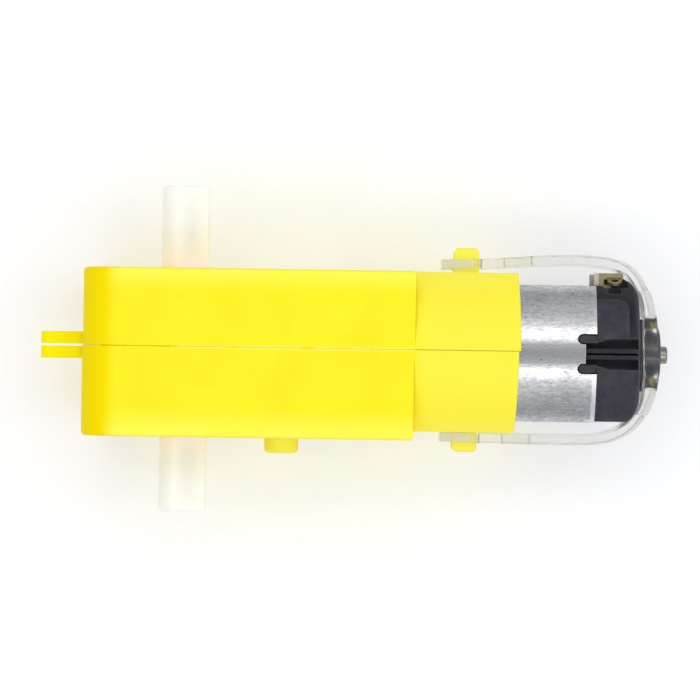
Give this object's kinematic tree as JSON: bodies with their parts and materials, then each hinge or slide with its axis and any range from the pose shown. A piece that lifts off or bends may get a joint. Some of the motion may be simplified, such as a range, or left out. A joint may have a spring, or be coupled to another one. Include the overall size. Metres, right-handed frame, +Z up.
{
  "type": "geared dc motor",
  "caption": "Small brushed dc motor strapped into a slim plastic gearbox, with a flat-sided output shaft leaving both sides.",
  "frame": {"origin": "where the output shaft's axis crosses the gearbox's parting plane", "axes": "+X along the motor's axis, from the gearbox to the motor; +Y along the output shaft, out of the terminal side; +Z up, so that the part rests on a narrow side of the gearbox"},
  "size_m": [0.071, 0.037, 0.0222],
  "materials": {
    "yellow_abs": "moulded, fine satin grain",
    "white_nylon": "moulded, waxy satin",
    "white_acetal": "moulded, slightly glossy",
    "clear_strap": "clear flexible plastic",
    "can_steel": "plated drawn steel with fine lengthwise grain",
    "black_plastic": "moulded, satin",
    "shaft_steel": "ground steel",
    "screw_steel": "zinc plated",
    "brass": "tarnished brass",
    "bronze": "oil-soaked sintered bronze",
    "copper_wire": "enamelled copper wire",
    "copper_segment": "turned copper",
    "laminated_steel": "stacked sheet steel",
    "ferrite": "pressed ferrite",
    "insulator": "moulded",
    "sleeve_resin": "moulded resin"
  },
  "bodies": {
    "housing": {"gearbox_shell_left": "yellow_abs", "gearbox_shell_right": "yellow_abs", "assembly_screws": "screw_steel", "axle_pin": "shaft_steel", "retaining_strap": "clear_strap", "motor_can": "can_steel", "end_cap": "black_plastic", "terminal_front": "brass", "terminal_rear": "brass", "front_bearing": "bronze", "rear_bearing": "bronze", "magnet_upper": "ferrite", "magnet_lower": "ferrite", "magnet_clip": "shaft_steel", "brush_front": "copper_segment", "brush_rear": "copper_segment"},
    "output": {"output_shaft": "white_nylon", "output_gear": "white_acetal"},
    "idler": {"idler_compound_gear": "white_acetal"},
    "shaft_gear": {"shaft_compound_gear": "white_acetal"},
    "crown": {"crown_compound_gear": "white_acetal"},
    "rotor": {"motor_shaft": "shaft_steel", "motor_pinion": "brass", "armature_core": "laminated_steel", "armature_windings": "copper_wire", "core_insulators": "insulator", "commutator_segments": "copper_segment", "commutator_sleeve": "sleeve_resin", "segment_ring": "insulator", "thrust_washers": "insulator"}
  },
  "joints": [
    {"name": "output_spin", "type": "hinge", "parent": "housing", "child": "output", "pos_m": [0, 0, 0], "axis": [0, 1, 0], "continuous": true},
    {"name": "idler_spin", "type": "hinge", "parent": "housing", "child": "idler", "pos_m": [0.011, 0, 0], "axis": [0, 1, 0], "continuous": true},
    {"name": "shaft_gear_spin", "type": "hinge", "parent": "housing", "child": "shaft_gear", "pos_m": [0, 0, 0], "axis": [0, 1, 0], "continuous": true},
    {"name": "crown_spin", "type": "hinge", "parent": "housing", "child": "crown", "pos_m": [0.011, 0, 0], "axis": [0, 1, 0], "continuous": true},
    {"name": "rotor_spin", "type": "hinge", "parent": "housing", "child": "rotor", "pos_m": [0.036, -0.0002, 0], "axis": [1, 0, 0], "continuous": true}
  ],
  "couplings": [
    {"joint": "idler_spin", "follows": "output_spin", "ratio": -2.6667},
    {"joint": "shaft_gear_spin", "follows": "output_spin", "ratio": 4.2353},
    {"joint": "crown_spin", "follows": "output_spin", "ratio": -14.4},
    {"joint": "rotor_spin", "follows": "output_spin", "ratio": -48}
  ]
}
